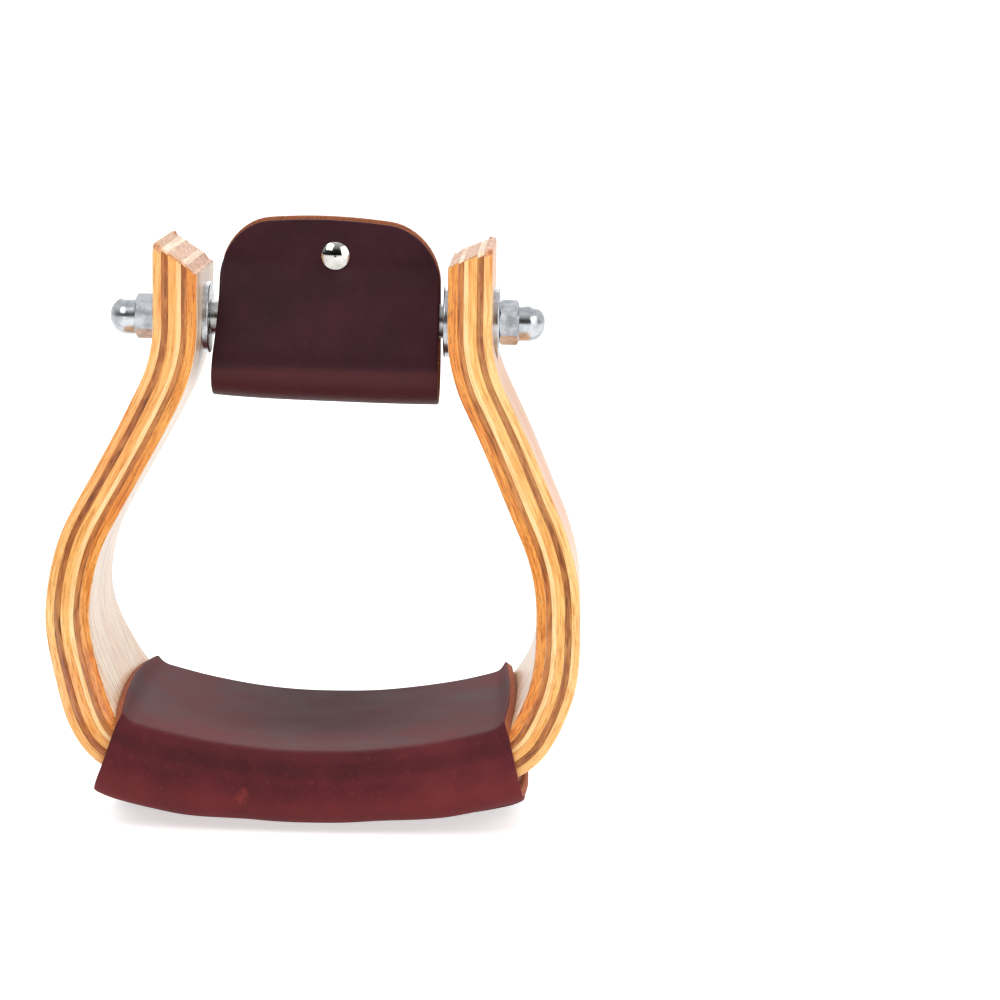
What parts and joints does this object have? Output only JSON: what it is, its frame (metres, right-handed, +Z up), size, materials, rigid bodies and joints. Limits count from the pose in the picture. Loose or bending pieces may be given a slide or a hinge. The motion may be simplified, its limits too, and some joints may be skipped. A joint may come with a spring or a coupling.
{
  "type": "western bentwood stirrup",
  "caption": "Bell-shaped laminated wood stirrup with a bolt, roller and riveted leather sleeve across its neck and a leather-wrapped tread.",
  "frame": {"origin": "on the bolt axis, midway between the two legs", "axes": "+X along the bolt to the right leg, +Y to the rear, +Z up from the tread to the neck"},
  "size_m": [0.1758, 0.1064, 0.1973],
  "materials": {
    "face_veneer": "honey varnished straight-grained veneer",
    "cross_veneer": "varnished end grain",
    "amber_core_veneer": "varnished",
    "cream_core_veneer": "varnished",
    "zinc_plated_steel": "bright zinc plate",
    "bright_steel": "drawn steel tube",
    "nickel": "nickel plate, polished",
    "sleeve_leather": "oiled oxblood harness leather",
    "tread_leather": "oiled oxblood harness leather",
    "strip_leather": "oiled oxblood harness leather, raw edges"
  },
  "bodies": {
    "stirrup": {"outer_face_ply": "face_veneer", "inner_face_ply": "face_veneer", "outer_cross_ply": "cross_veneer", "inner_cross_ply": "cross_veneer", "amber_core_ply": "amber_core_veneer", "cream_core_ply": "cream_core_veneer", "threaded_stud": "zinc_plated_steel", "left_inner_washer": "zinc_plated_steel", "right_inner_washer": "zinc_plated_steel", "left_outer_washer": "zinc_plated_steel", "right_outer_washer": "zinc_plated_steel", "left_acorn_nut": "zinc_plated_steel", "right_acorn_nut": "zinc_plated_steel", "tread_cover": "tread_leather", "inner_seam_strip": "strip_leather", "outer_seam_strip": "strip_leather"},
    "roller": {"roller": "bright_steel"},
    "sleeve": {"bolt_sleeve": "sleeve_leather", "rivet_front_cap": "nickel", "rivet_back_cap": "nickel", "rivet_post": "nickel"}
  },
  "joints": [
    {"name": "roller_spin", "type": "hinge", "parent": "stirrup", "child": "roller", "pos_m": [0, 0, 0], "axis": [1, 0, 0], "continuous": true},
    {"name": "sleeve_swing", "type": "hinge", "parent": "stirrup", "child": "sleeve", "pos_m": [0, 0, 0], "axis": [1, 0, 0], "continuous": true}
  ]
}
